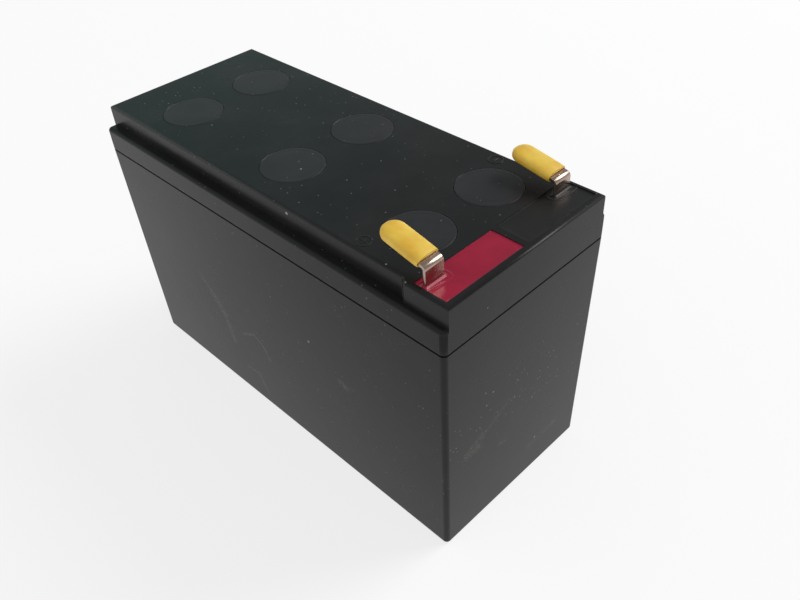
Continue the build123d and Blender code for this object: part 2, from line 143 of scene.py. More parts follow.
rubbedLines = (
    # broad pale rub and two curved scratches on the positive long side
    {"from": (-37.0, -32.0, 45.3), "to": (-31.0, -31.9, 38.9), "width": 1.8, "share": 0.16},
    {"from": (-31.0, -31.9, 38.9), "to": (-27.0, -31.8, 32.6), "width": 2.4, "share": 0.22},
    {"from": (-27.0, -31.8, 32.6), "to": (-25.0, -31.6, 22.0), "width": 2.0, "share": 0.18},
    {"from": (-17.5, -31.7, 29.6), "to": (-10.9, -31.8, 33.3), "width": 0.8, "share": 0.2},
    {"from": (-10.9, -31.8, 33.3), "to": (-6.7, -31.7, 30.9), "width": 0.7, "share": 0.28},
    {"from": (-6.7, -31.7, 30.9), "to": (-3.9, -31.6, 25.3), "width": 0.6, "share": 0.4},
    {"from": (-20.6, -31.4, 12.5), "to": (-13.3, -31.5, 13.0), "width": 0.9, "share": 0.16},
    {"from": (-13.3, -31.5, 13.0), "to": (-10.2, -31.3, 5.5), "width": 0.8, "share": 0.2},
    {"from": (33.0, -31.9, 41.8), "to": (36.0, -31.9, 41.0), "width": 1.7, "share": 0.22},
    # scuffs low on the terminal end
    {"from": (74.8, -23.0, 34.8), "to": (74.8, -18.5, 34.6), "width": 2.6, "share": 0.15},
    {"from": (74.8, -21.1, 36.5), "to": (74.8, -16.6, 38.2), "width": 2.4, "share": 0.1},
    {"from": (74.8, -16.6, 37.6), "to": (74.9, -6.1, 43.5), "width": 1.6, "share": 0.07},
    {"from": (74.7, -8.5, 27.0), "to": (74.7, -6.5, 26.5), "width": 1.5, "share": 0.11},
    {"from": (74.5, 6.2, 12.7), "to": (74.5, 19.6, 12.9), "width": 1.5, "share": 0.1},
)


# the single marks joined to the dust: round specks with a ragged edge, the painted glint among
# them, then broken lines
def addMarks(tree, place, grain, dustAndGlint, finish):
    for speck in whiteSpecksAndGlint:
        radius = speck["radius"] * mm
        away = addNode(tree, "ShaderNodeVectorMath", {0: place, 1: Vector(speck["at"]) * mm},
                       operation="DISTANCE").outputs["Value"]
        ragged = addNode(tree, "ShaderNodeMath", {0: grain, 1: radius, 2: away},
                         operation="MULTIPLY_ADD")
        fleck = addNode(tree, "ShaderNodeMapRange", {
            "Value": ragged, "From Min": 1.5 * radius, "From Max": radius,
            "To Max": speck["share"]})
        dustAndGlint = addNode(tree, "ShaderNodeMath", {0: dustAndGlint, 1: fleck}, operation="MAXIMUM")
    rubs = 0.0
    for line in rubbedLines:
        start = Vector(line["from"]) * mm
        run = Vector(line["to"]) * mm - start
        fromStart = addNode(tree, "ShaderNodeVectorMath", {0: place, 1: start},
                            operation="SUBTRACT")
        along = addNode(tree, "ShaderNodeVectorMath", {0: fromStart, 1: run.normalized()},
                        operation="DOT_PRODUCT").outputs["Value"]
        within = addNode(tree, "ShaderNodeMapRange", {
            "Value": along, "From Max": run.length, "To Max": run.length})
        nearest = addNode(tree, "ShaderNodeVectorMath", {0: run.normalized(), "Scale": within},
                          operation="SCALE")
        away = addNode(tree, "ShaderNodeVectorMath", {0: fromStart, 1: nearest},
                       operation="DISTANCE").outputs["Value"]
        rub = addNode(tree, "ShaderNodeMapRange", {
            "Value": away, "From Min": line["width"] * mm, "From Max": 0.0,
            "To Max": line["share"]})
        rubs = addNode(tree, "ShaderNodeMath", {0: rubs, 1: rub}, operation="MAXIMUM")
    scraped = addNode(tree, "ShaderNodeTexNoise", {
        "Vector": place, "Scale": perMm(finish["scrapeMm"]), "Detail": 6.0, "Roughness": 0.75})
    broken = addNode(tree, "ShaderNodeMapRange", {
        "Value": scraped, "From Min": 0.42, "From Max": 0.62})
    rubs = addNode(tree, "ShaderNodeMath", {0: rubs, 1: broken}, operation="MULTIPLY")
    return addNode(tree, "ShaderNodeMath", {0: dustAndGlint, 1: rubs}, operation="MAXIMUM")


def mouldedAbs(name, finish, marked):
    material, tree, place = startMaterial(name)
    haze = addNode(tree, "ShaderNodeTexNoise", {
        "Vector": place, "Scale": perMm(finish["hazeMm"]), "Detail": 6.0, "Roughness": 0.6})
    grain = addNode(tree, "ShaderNodeTexNoise", {
        "Vector": place, "Scale": perMm(finish["grainMm"]), "Detail": 1.0})
    sink = addNode(tree, "ShaderNodeTexNoise", {
        "Vector": place, "Scale": perMm(finish["sinkMm"]), "Detail": 1.0})
    # outward edges, where the plastic is thin round the point, are where hands rub it
    thin = addNode(tree, "ShaderNodeAmbientOcclusion", {"Distance": finish["edgeMm"] * mm},
                   samples=4, inside=True, only_local=True)
    edge = addNode(tree, "ShaderNodeMapRange", {
        "Value": thin.outputs["AO"], "From Min": 0.9, "From Max": 0.4})
    patchy = addNode(tree, "ShaderNodeTexNoise", {
        "Vector": place, "Scale": perMm(finish["patchMm"]), "Detail": 4.0})
    patches = addNode(tree, "ShaderNodeMapRange", {
        "Value": patchy, "From Min": 0.45, "From Max": 0.65, "To Max": finish["edgeShare"]})
    worn = addNode(tree, "ShaderNodeMath", {0: edge, 1: patches}, operation="MULTIPLY")
    # dust: one speck in some cells of a random net
    net = addNode(tree, "ShaderNodeTexVoronoi", {
        "Vector": place, "Scale": perMm(finish["netMm"])})
    speckSize = finish["speckMm"] / finish["netMm"]
    spot = addNode(tree, "ShaderNodeMapRange", {
        "Value": net, "From Min": speckSize, "From Max": 0.5 * speckSize})
    lot = addNode(tree, "ShaderNodeSeparateColor", {"Color": net.outputs["Color"]})
    chosen = addNode(tree, "ShaderNodeMapRange", {
        "Value": lot, "From Min": finish["speckFrom"], "From Max": 1.0,
        "To Max": finish["speckShare"]})
    dustAndGlint = addNode(tree, "ShaderNodeMath", {0: spot, 1: chosen}, operation="MULTIPLY")
    if marked:
        dustAndGlint = addMarks(tree, place, grain, dustAndGlint, finish)
    hazeShare = addNode(tree, "ShaderNodeMapRange", {
        "Value": haze, "From Min": 0.4, "From Max": 0.7})
    colour = addNode(tree, "ShaderNodeMix", {
        "Factor": hazeShare, "A": linearColour(finish["colour"]),
        "B": linearColour(finish["greyed"])}, data_type="RGBA")
    colour = addNode(tree, "ShaderNodeMix", {
        "Factor": worn, "A": colour, "B": linearColour(finish["rubbed"])}, data_type="RGBA")
    # dust, rubs and the painted glint all take the pale dust colour
    colour = addNode(tree, "ShaderNodeMix", {
        "Factor": dustAndGlint, "A": colour, "B": linearColour(finish["dustAndGlint"])}, data_type="RGBA")
    rough = addNode(tree, "ShaderNodeMapRange", {
        "Value": haze, "From Min": 0.3, "From Max": 0.75, "To Min": finish["roughLow"],
        "To Max": finish["roughHigh"]})
    wavy = addNode(tree, "ShaderNodeBump", {
        "Height": sink, "Distance": finish["sinkDeepMm"] * mm})
    pitted = addNode(tree, "ShaderNodeBump", {
        "Height": grain, "Distance": finish["grainDeepMm"] * mm, "Normal": wavy})
    shader = addNode(tree, "ShaderNodeBsdfPrincipled", {
        "Base Color": colour, "Roughness": rough, "Normal": pitted,
        "Specular IOR Level": finish["specular"], "IOR": 1.5})
    addNode(tree, "ShaderNodeOutputMaterial", {"Surface": shader})
    return material


# Soft PVC, dip moulded over a former: a plump satin skin, paler in random clouds, with the
# light sinking in a little so that its shaded side stays warm
vinylFinish = {
    "colour": "#e8c34a", "deep": "#dcaa30", "pale": "#eed48a", "cloudMm": 6.0,
    "skinMm": 0.6, "skinDeepMm": 0.012, "rough": 0.42, "roughSpread": 0.06,
    "sunkShare": 0.15, "sunkMm": (0.9, 0.5, 0.2),
}


def dippedVinyl(name, finish):
    material, tree, place = startMaterial(name)
    cloud = addNode(tree, "ShaderNodeTexNoise", {
        "Vector": place, "Scale": perMm(finish["cloudMm"]), "Detail": 3.0})
    skin = addNode(tree, "ShaderNodeTexNoise", {
        "Vector": place, "Scale": perMm(finish["skinMm"]), "Detail": 2.0})
    cloudShare = addNode(tree, "ShaderNodeMapRange", {
        "Value": cloud, "From Min": 0.3, "From Max": 0.6})
    paleShare = addNode(tree, "ShaderNodeMapRange", {
        "Value": cloud, "From Min": 0.6, "From Max": 0.8, "To Max": 0.4})
    colour = addNode(tree, "ShaderNodeMix", {
        "Factor": cloudShare, "A": linearColour(finish["deep"]),
        "B": linearColour(finish["colour"])}, data_type="RGBA")
    colour = addNode(tree, "ShaderNodeMix", {
        "Factor": paleShare, "A": colour, "B": linearColour(finish["pale"])}, data_type="RGBA")
    rough = addNode(tree, "ShaderNodeMapRange", {
        "Value": skin, "From Min": 0.2, "From Max": 0.8,
        "To Min": finish["rough"] - finish["roughSpread"],
        "To Max": finish["rough"] + finish["roughSpread"]})
    dimpled = addNode(tree, "ShaderNodeBump", {
        "Height": skin, "Distance": finish["skinDeepMm"] * mm})
    shader = addNode(tree, "ShaderNodeBsdfPrincipled", {
        "Base Color": colour, "Roughness": rough, "Normal": dimpled,
        "Specular IOR Level": 0.45, "IOR": 1.53, "Subsurface Weight": finish["sunkShare"],
        "Subsurface Radius": [depth * mm for depth in finish["sunkMm"]],
        "Subsurface Scale": 1.0})
    addNode(tree, "ShaderNodeOutputMaterial", {"Surface": shader})
    return material


# Brass strip, tin dipped: a pale warm mirror, softened by fine rolling lines along the strip
tinFinish = {
    "colour": "#ae998b", "dull": "#99867b", "lineMm": 0.12, "lineDeepMm": 0.003,
    "lineDrawn": 0.06, "cloudMm": 2.0, "roughLow": 0.2, "roughHigh": 0.28,
}


def tinnedBrass(name, finish):
    material, tree, place = startMaterial(name)
    # squeezed along the strip, so that each grain is drawn out into a line
    drawn = addNode(tree, "ShaderNodeMapping", {
        "Vector": place, "Scale": (finish["lineDrawn"], 1.0, finish["lineDrawn"])})
    lines = addNode(tree, "ShaderNodeTexNoise", {
        "Vector": drawn, "Scale": perMm(finish["lineMm"]), "Detail": 2.0})
    cloud = addNode(tree, "ShaderNodeTexNoise", {
        "Vector": place, "Scale": perMm(finish["cloudMm"]), "Detail": 4.0})
    share = addNode(tree, "ShaderNodeMapRange", {
        "Value": cloud, "From Min": 0.45, "From Max": 0.75})
    colour = addNode(tree, "ShaderNodeMix", {
        "Factor": share, "A": linearColour(finish["colour"]),
        "B": linearColour(finish["dull"])}, data_type="RGBA")
    rough = addNode(tree, "ShaderNodeMapRange", {
        "Value": cloud, "From Min": 0.3, "From Max": 0.75, "To Min": finish["roughLow"],
        "To Max": finish["roughHigh"]})
    lined = addNode(tree, "ShaderNodeBump", {
        "Height": lines, "Distance": finish["lineDeepMm"] * mm})
    shader = addNode(tree, "ShaderNodeBsdfPrincipled", {
        "Base Color": colour, "Metallic": 1.0, "Roughness": rough, "Normal": lined})
    addNode(tree, "ShaderNodeOutputMaterial", {"Surface": shader})
    return material


# Epoxy, cast into the well and cured: glossy and nearly level, with slow ripples, faint pigment
# clouds and a few dust specks caught in it
epoxyTexture = {"cloudMm": 7.0, "rippleMm": 5.0, "rippleDeepMm": 0.02, "netMm": 3.0,
                "speckShare": 0.6, "roughSpread": 0.06}
redEpoxyFinish = {**epoxyTexture, "colour": "#9c1837", "deep": "#8f1632", "speck": "#c88a90",
                  "rough": 0.18, "specular": 0.22}
blackEpoxyFinish = {**epoxyTexture, "colour": "#1c1c1d", "deep": "#181819", "speck": "#6a6c6d",
                    "rough": 0.34, "specular": 0.2}


def castEpoxy(name, finish):
    material, tree, place = startMaterial(name)
    cloud = addNode(tree, "ShaderNodeTexNoise", {
        "Vector": place, "Scale": perMm(finish["cloudMm"]), "Detail": 4.0})
    ripple = addNode(tree, "ShaderNodeTexNoise", {
        "Vector": place, "Scale": perMm(finish["rippleMm"]), "Detail": 1.0})
    net = addNode(tree, "ShaderNodeTexVoronoi", {
        "Vector": place, "Scale": perMm(finish["netMm"])})
    spot = addNode(tree, "ShaderNodeMapRange", {
        "Value": net, "From Min": 0.06, "From Max": 0.03})
    lot = addNode(tree, "ShaderNodeSeparateColor", {"Color": net.outputs["Color"]})
    chosen = addNode(tree, "ShaderNodeMapRange", {
        "Value": lot, "From Min": 0.85, "From Max": 0.95, "To Max": finish["speckShare"]})
    speck = addNode(tree, "ShaderNodeMath", {0: spot, 1: chosen}, operation="MULTIPLY")
    share = addNode(tree, "ShaderNodeMapRange", {
        "Value": cloud, "From Min": 0.35, "From Max": 0.65})
    colour = addNode(tree, "ShaderNodeMix", {
        "Factor": share, "A": linearColour(finish["deep"]),
        "B": linearColour(finish["colour"])}, data_type="RGBA")
    colour = addNode(tree, "ShaderNodeMix", {
        "Factor": speck, "A": colour, "B": linearColour(finish["speck"])}, data_type="RGBA")
    rough = addNode(tree, "ShaderNodeMapRange", {
        "Value": cloud, "From Min": 0.3, "From Max": 0.8, "To Min": finish["rough"],
        "To Max": finish["rough"] + finish["roughSpread"]})
    rippled = addNode(tree, "ShaderNodeBump", {
        "Height": ripple, "Distance": finish["rippleDeepMm"] * mm})
    shader = addNode(tree, "ShaderNodeBsdfPrincipled", {
        "Base Color": colour, "Roughness": rough, "Normal": rippled, "IOR": 1.55,
        "Specular IOR Level": finish["specular"]})
    addNode(tree, "ShaderNodeOutputMaterial", {"Surface": shader})
    return material


# Nitrile rubber, moulded: matt black with a talc bloom
rubberFinish = {"colour": "#1a1a1b", "bloom": "#3a3a3a", "bloomMm": 1.5, "grainMm": 0.25,
                "grainDeepMm": 0.02, "roughLow": 0.65, "roughHigh": 0.85}


def mouldedRubber(name, finish):
    material, tree, place = startMaterial(name)
    bloom = addNode(tree, "ShaderNodeTexNoise", {
        "Vector": place, "Scale": perMm(finish["bloomMm"]), "Detail": 5.0})
    grain = addNode(tree, "ShaderNodeTexNoise", {
        "Vector": place, "Scale": perMm(finish["grainMm"]), "Detail": 2.0})
    share = addNode(tree, "ShaderNodeMapRange", {
        "Value": bloom, "From Min": 0.45, "From Max": 0.75})
    colour = addNode(tree, "ShaderNodeMix", {
        "Factor": share, "A": linearColour(finish["colour"]),
        "B": linearColour(finish["bloom"])}, data_type="RGBA")
    rough = addNode(tree, "ShaderNodeMapRange", {
        "Value": bloom, "From Min": 0.3, "From Max": 0.7, "To Min": finish["roughLow"],
        "To Max": finish["roughHigh"]})
    grained = addNode(tree, "ShaderNodeBump", {
        "Height": grain, "Distance": finish["grainDeepMm"] * mm})
    shader = addNode(tree, "ShaderNodeBsdfPrincipled", {
        "Base Color": colour, "Roughness": rough, "Normal": grained, "Specular IOR Level": 0.35})
    addNode(tree, "ShaderNodeOutputMaterial", {"Surface": shader})
    return material


# Lead, cast in a mould: a grey skin of oxide over coarse crystals
leadFinish = {"colour": "#7d8087", "oxide": "#54565b", "crystal": "#9ea1a8", "crystalMm": 1.6,
              "crystalShare": 0.35, "oxideMm": 3.0, "oxideDeepMm": 0.06,
              "roughLow": 0.42, "roughHigh": 0.62}


def castLead(name, finish):
    material, tree, place = startMaterial(name)
    crystals = addNode(tree, "ShaderNodeTexVoronoi", {
        "Vector": place, "Scale": perMm(finish["crystalMm"])})
    shade = addNode(tree, "ShaderNodeSeparateColor", {"Color": crystals.outputs["Color"]})
    bright = addNode(tree, "ShaderNodeMath", {
        0: shade.outputs["Green"], 1: finish["crystalShare"]}, operation="MULTIPLY")
    oxide = addNode(tree, "ShaderNodeTexNoise", {
        "Vector": place, "Scale": perMm(finish["oxideMm"]), "Detail": 6.0})
    share = addNode(tree, "ShaderNodeMapRange", {
        "Value": oxide, "From Min": 0.35, "From Max": 0.7})
    colour = addNode(tree, "ShaderNodeMix", {
        "Factor": share, "A": linearColour(finish["colour"]),
        "B": linearColour(finish["oxide"])}, data_type="RGBA")
    colour = addNode(tree, "ShaderNodeMix", {
        "Factor": bright, "A": colour, "B": linearColour(finish["crystal"])}, data_type="RGBA")
    rough = addNode(tree, "ShaderNodeMapRange", {
        "Value": oxide, "From Min": 0.3, "From Max": 0.7, "To Min": finish["roughLow"],
        "To Max": finish["roughHigh"]})
    pitted = addNode(tree, "ShaderNodeBump", {
        "Height": oxide, "Distance": finish["oxideDeepMm"] * mm})
    shader = addNode(tree, "ShaderNodeBsdfPrincipled", {
        "Base Color": colour, "Metallic": 1.0, "Roughness": rough, "Normal": pitted})
    addNode(tree, "ShaderNodeOutputMaterial", {"Surface": shader})
    return material


# Lead paste, pressed into a cast grid and dried: crumbly, with the grid's bars as a faint lattice
plateTexture = {"crumbMm": 0.6, "crumbDeepMm": 0.08, "cloudMm": 8.0, "rough": 0.85,
                "barDeepMm": 0.1, "barShare": 0.6, "barPitchMm": {"X": 6.0, "Z": 4.0}}
positivePaste = {**plateTexture, "paste": "#4a2a1e", "pale": "#5d3a2b", "grid": "#3c3634"}
negativePaste = {**plateTexture, "paste": "#6d7075", "pale": "#83868b", "grid": "#565a5f"}


def pastedPlate(name, finish):
    material, tree, place = startMaterial(name)
    crumb = addNode(tree, "ShaderNodeTexNoise", {
        "Vector": place, "Scale": perMm(finish["crumbMm"]), "Detail": 6.0, "Roughness": 0.65})
    cloud = addNode(tree, "ShaderNodeTexNoise", {
        "Vector": place, "Scale": perMm(finish["cloudMm"]), "Detail": 3.0})
    axes = addNode(tree, "ShaderNodeSeparateXYZ", {"Vector": place})
    bars = 0.0
    for axis, pitch in finish["barPitchMm"].items():
        angle = addNode(tree, "ShaderNodeMath", {
            0: axes.outputs[axis], 1: 2 * math.pi / (pitch * mm)}, operation="MULTIPLY")
        wave = addNode(tree, "ShaderNodeMath", {0: angle}, operation="SINE")
        line = addNode(tree, "ShaderNodeMapRange", {
            "Value": wave, "From Min": 0.9, "From Max": 0.98, "To Max": finish["barShare"]})
        bars = addNode(tree, "ShaderNodeMath", {0: bars, 1: line}, operation="MAXIMUM")
    share = addNode(tree, "ShaderNodeMapRange", {
        "Value": cloud, "From Min": 0.35, "From Max": 0.65})
    colour = addNode(tree, "ShaderNodeMix", {
        "Factor": share, "A": linearColour(finish["paste"]),
        "B": linearColour(finish["pale"])}, data_type="RGBA")
    colour = addNode(tree, "ShaderNodeMix", {
        "Factor": bars, "A": colour, "B": linearColour(finish["grid"])}, data_type="RGBA")
    ribbed = addNode(tree, "ShaderNodeBump", {
        "Height": bars, "Distance": finish["barDeepMm"] * mm})
    crumbly = addNode(tree, "ShaderNodeBump", {
        "Height": crumb, "Distance": finish["crumbDeepMm"] * mm, "Normal": ribbed})
    shader = addNode(tree, "ShaderNodeBsdfPrincipled", {
        "Base Color": colour, "Roughness": finish["rough"], "Normal": crumbly})
    addNode(tree, "ShaderNodeOutputMaterial", {"Surface": shader})
    return material


# Glass microfibre, felted into mat and damp with acid: white, matt, with tangled threads, and
# painted shade in the hollows between them
matFinish = {"dry": "#e6e6e0", "damp": "#cbc9c0", "hollowShade": "#a9a79e", "fibreMm": 0.25,
             "fibreDeepMm": 0.12, "fibreDrawn": 0.2, "dampMm": 12.0, "rough": 0.9, "sheen": 0.3}


def glassMat(name, finish):
    material, tree, place = startMaterial(name)
    drawn = addNode(tree, "ShaderNodeMapping", {
        "Vector": place, "Scale": (finish["fibreDrawn"], 1.0, 1.0)})
    fibres = addNode(tree, "ShaderNodeTexNoise", {
        "Vector": drawn, "Scale": perMm(finish["fibreMm"]), "Detail": 4.0, "Roughness": 0.7,
        "Distortion": 1.5})
    damp = addNode(tree, "ShaderNodeTexNoise", {
        "Vector": place, "Scale": perMm(finish["dampMm"]), "Detail": 3.0})
    dampShare = addNode(tree, "ShaderNodeMapRange", {
        "Value": damp, "From Min": 0.4, "From Max": 0.65})
    # painted shade: darker where the fibre bump is low, in the hollows between the threads
    hollowShadeShare = addNode(tree, "ShaderNodeMapRange", {
        "Value": fibres, "From Min": 0.3, "From Max": 0.7, "To Min": 0.25, "To Max": 0.0})
    colour = addNode(tree, "ShaderNodeMix", {
        "Factor": dampShare, "A": linearColour(finish["dry"]),
        "B": linearColour(finish["damp"])}, data_type="RGBA")
    colour = addNode(tree, "ShaderNodeMix", {
        "Factor": hollowShadeShare, "A": colour, "B": linearColour(finish["hollowShade"])}, data_type="RGBA")
    felted = addNode(tree, "ShaderNodeBump", {
        "Height": fibres, "Distance": finish["fibreDeepMm"] * mm})
    shader = addNode(tree, "ShaderNodeBsdfPrincipled", {
        "Base Color": colour, "Roughness": finish["rough"], "Normal": felted,
        "Sheen Weight": finish["sheen"]})
    addNode(tree, "ShaderNodeOutputMaterial", {"Surface": shader})
    return material


# Paper, pale and matt, under the object: partly self-lit where it is seen or mirrored, so that it
# reads as white and still keeps the shadow
paperFinish = {"colour": "#f4f4f4", "fibre": "#f8f8f8", "fibreMm": 1.2, "rough": 0.9,
               "whiteShare": 0.75}


def studioPaper(name, finish):
    material, tree, place = startMaterial(name)
    fibre = addNode(tree, "ShaderNodeTexNoise", {
        "Vector": place, "Scale": perMm(finish["fibreMm"]), "Detail": 4.0})
    colour = addNode(tree, "ShaderNodeMix", {
        "Factor": fibre, "A": linearColour(finish["colour"]),
        "B": linearColour(finish["fibre"])}, data_type="RGBA")
    paper = addNode(tree, "ShaderNodeBsdfPrincipled", {
        "Base Color": colour, "Roughness": finish["rough"], "Specular IOR Level": 0.0})
    white = addNode(tree, "ShaderNodeEmission", {"Color": (1.0, 1.0, 1.0, 1.0), "Strength": 1.0})
    ray = addNode(tree, "ShaderNodeLightPath")
    seen = ray.outputs["Is Camera Ray"]
    for kind in ("Is Glossy Ray", "Is Transmission Ray"):
        seen = addNode(tree, "ShaderNodeMath", {0: seen, 1: ray.outputs[kind]},
                       operation="MAXIMUM")
    share = addNode(tree, "ShaderNodeMath", {0: seen, 1: finish["whiteShare"]},
                    operation="MULTIPLY")
    shader = addNode(tree, "ShaderNodeMixShader", {0: share, 1: paper, 2: white})
    addNode(tree, "ShaderNodeOutputMaterial", {"Surface": shader})
    return material


blackAbs = mouldedAbs("ABS black, spark-eroded mould finish", absFinish, marked=False)
markedAbs = mouldedAbs("ABS black, spark-eroded mould finish, scuffed", absFinish, marked=True)
coverAbs = mouldedAbs("ABS black, matt mould finish, scuffed", coverFinish, marked=True)
yellowVinyl = dippedVinyl("PVC yellow, dip moulded", vinylFinish)
tinnedStrip = tinnedBrass("Brass strip, tin dipped", tinFinish)
redEpoxy = castEpoxy("Epoxy red, cast", redEpoxyFinish)
blackEpoxy = castEpoxy("Epoxy black, cast", blackEpoxyFinish)
insideLooks = {
    "valve_cap": mouldedRubber("Nitrile rubber, moulded", rubberFinish),
    "positive_plates": pastedPlate("Lead dioxide paste on a cast grid", positivePaste),
    "negative_plates": pastedPlate("Sponge lead paste on a cast grid", negativePaste),
    "separators": glassMat("Absorbent glass mat", matFinish),
    "positive_strap": castLead("Lead, cast, positive side", leadFinish),
    "negative_strap": castLead("Lead, cast, negative side", leadFinish),
}
looks = {"container": markedAbs, "lid": markedAbs}
for kind, epoxy in (("positive", redEpoxy), ("negative", blackEpoxy)):
    looks[f"{kind}_terminal"] = tinnedStrip
    looks[f"{kind}_sleeve"] = yellowVinyl
    looks[f"{kind}_seal"] = epoxy
for number in cells:
    looks[f"vent_cover_{number}"] = coverAbs
    for group, look in insideLooks.items():
        looks[f"{group}_{number}"] = look
for name, look in looks.items():
    nodes[name].data.materials.clear()
    nodes[name].data.materials.append(look)
print("materials made, CAD nodes dressed:", len(looks))


# new piece from a finished bmesh, riding with the battery
def addPiece(name, build, material, replaced=None, smoothDegrees=None):
    bmesh.ops.recalc_face_normals(build, faces=build.faces)
    mesh = bpy.data.meshes.new(name)
    build.to_mesh(mesh)
    build.free()
    mesh.materials.append(material)
    if smoothDegrees is not None:
        mesh.shade_smooth()
        mesh.set_sharp_from_angle(angle=math.radians(smoothDegrees))
    piece = bpy.data.objects.new(name, mesh)
    bpy.context.scene.collection.objects.link(piece)
    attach(piece, "root")
    if replaced:
        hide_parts(replaced)
    return piece


# a CAD node's mesh as a bmesh, with the points of neighbouring faces joined
def weldedNode(name, distance=weldMm):
    build = bmesh.new()
    build.from_mesh(nodes[name].data)
    bmesh.ops.remove_doubles(build, verts=build.verts, dist=distance * mm)
    return build


# the shape of a bmesh taken out of a finished piece
def cutAway(piece, cutterBuild):
    cutterMesh = bpy.data.meshes.new("cutter")
    cutterBuild.to_mesh(cutterMesh)
    cutterBuild.free()
    cutter = bpy.data.objects.new("cutter", cutterMesh)
    bpy.context.scene.collection.objects.link(cutter)
    cut = piece.modifiers.new("cut", "BOOLEAN")
    cut.operation = "DIFFERENCE"
    cut.solver = "EXACT"
    cut.object = cutter
    bpy.context.view_layer.update()
    evaluated = piece.evaluated_get(bpy.context.evaluated_depsgraph_get())
    finished = bpy.data.meshes.new_from_object(evaluated)
    piece.modifiers.clear()
    piece.data = finished
    bpy.data.objects.remove(cutter)


# faces between neighbouring rings of vertices, each ring closed
def bridgeRings(build, rings):
    for lower, upper in zip(rings, rings[1:]):
        count = len(lower)
        for index in range(count):
            after = (index + 1) % count
            build.faces.new((lower[index], lower[after], upper[after], upper[index]))


# angles of evenly spaced steps round a circle
def turnsRound(count, shift=0.0):
    return [2 * math.pi * (step + shift) / count for step in range(count)]


# point at an angle on an oval, which a power below 1 makes squarer
def ovalPoint(turn, halfWide, halfHigh, power):
    cosine, sine = math.cos(turn), math.sin(turn)
    return (halfWide * math.copysign(abs(cosine) ** power, cosine),
            halfHigh * math.copysign(abs(sine) ** power, sine))


# smooth shading in which faces square to the axes stay level, right up to a rounded edge
def levelFlatFaces(mesh, degrees):
    squareFrom = 0.99999  # largest part of a normal from which its face counts as square
    mesh.shade_smooth()
    mesh.set_sharp_from_angle(angle=math.radians(degrees))
    flat = {}
    for polygon in mesh.polygons:
        if max(abs(part) for part in polygon.normal) > squareFrom:
            for vertex in polygon.vertices:
                flat.setdefault(vertex, []).append(polygon.normal.copy())
    limit = math.cos(math.radians(degrees))
    normals = [corner.vector.copy() for corner in mesh.corner_normals]
    for polygon in mesh.polygons:
        for loop in polygon.loop_indices:
            for level in flat.get(mesh.loops[loop].vertex_index, ()):
                if level.dot(polygon.normal) > limit:
                    normals[loop] = level
    mesh.normals_split_custom_set(normals)


# Lid: the CAD lid with the outer edges of its two ledges rounded
ledgeShape = {"halfLong": 75.5, "halfWide": 32.5, "corner": 1.5, "levelBelowTop": 6.6,
              "round": 1.15, "endRound": 0.9, "farWall": 29.15, "nearWall": 30.7,
              "margin": 0.6, "arcSteps": 8, "smoothDegrees": 32}


# what the rounding takes off along one ledge: a section swept round its plan, open at both walls
def ledgeCutter(side, shape):
    corner, steps, endRound = shape["corner"], shape["arcSteps"], shape["endRound"]
    longEnd, wideEnd = shape["halfLong"] - corner, shape["halfWide"] - corner
    quarter = math.pi / 2
    stations = [(-shape["halfLong"], shape["farWall"], math.pi, endRound)]
    for end in (-1, 1):
        for step in range(steps + 1):
            part = step / steps if end < 0 else 1 - step / steps
            turn = quarter + quarter * (1 - part) if end < 0 else quarter * part
            stations.append((end * longEnd + corner * math.cos(turn),
                             wideEnd + corner * math.sin(turn),
                             turn, endRound + (shape["round"] - endRound) * part))
    stations.append((shape["halfLong"], shape["nearWall"], 0.0, endRound))
    level, margin = lidLevel / mm - shape["levelBelowTop"], shape["margin"]
    cutter = bmesh.new()
    rings = []
    for x, y, turn, radius in stations:
        section = [(-radius, margin), (margin, margin), (margin, -radius)]
        for step in range(steps + 1):
            angle = quarter * step / steps
            section.append((radius * math.cos(angle) - radius, radius * math.sin(angle) - radius))
        ring = []
        for out, up in section:
            place = Vector((x + out * math.cos(turn), side * (y + out * math.sin(turn)),
                            level + up))
            ring.append(cutter.verts.new(place * mm))
        rings.append(ring)
    bridgeRings(cutter, rings)
    cutter.faces.new(rings[0])
    cutter.faces.new(rings[-1])
    bmesh.ops.recalc_face_normals(cutter, faces=cutter.faces)
    return cutter


def buildLid(name, shape):
    piece = addPiece(name, weldedNode("lid"), markedAbs, "lid")
    for side in (-1, 1):
        cutAway(piece, ledgeCutter(side, shape))
    levelFlatFaces(piece.data, shape["smoothDegrees"])
    print(name, "faces", len(piece.data.polygons))


buildLid("rounded_lid", ledgeShape)
print("lid rounded")


# Vent covers: round discs, a little proud of the lid, with a rolled edge, a shallow ring and a
# slightly dished middle
coverShape = {"radius": 9.6, "proud": 0.05, "edgeRound": 0.3, "edgeSteps": 6,
              "ringRadius": 7.8, "ringWide": 0.7, "ringDeep": 0.02,
              "dish": 0.05, "dishSteps": (0.7, 0.45, 0.2), "segments": 96, "smoothDegrees": 50}


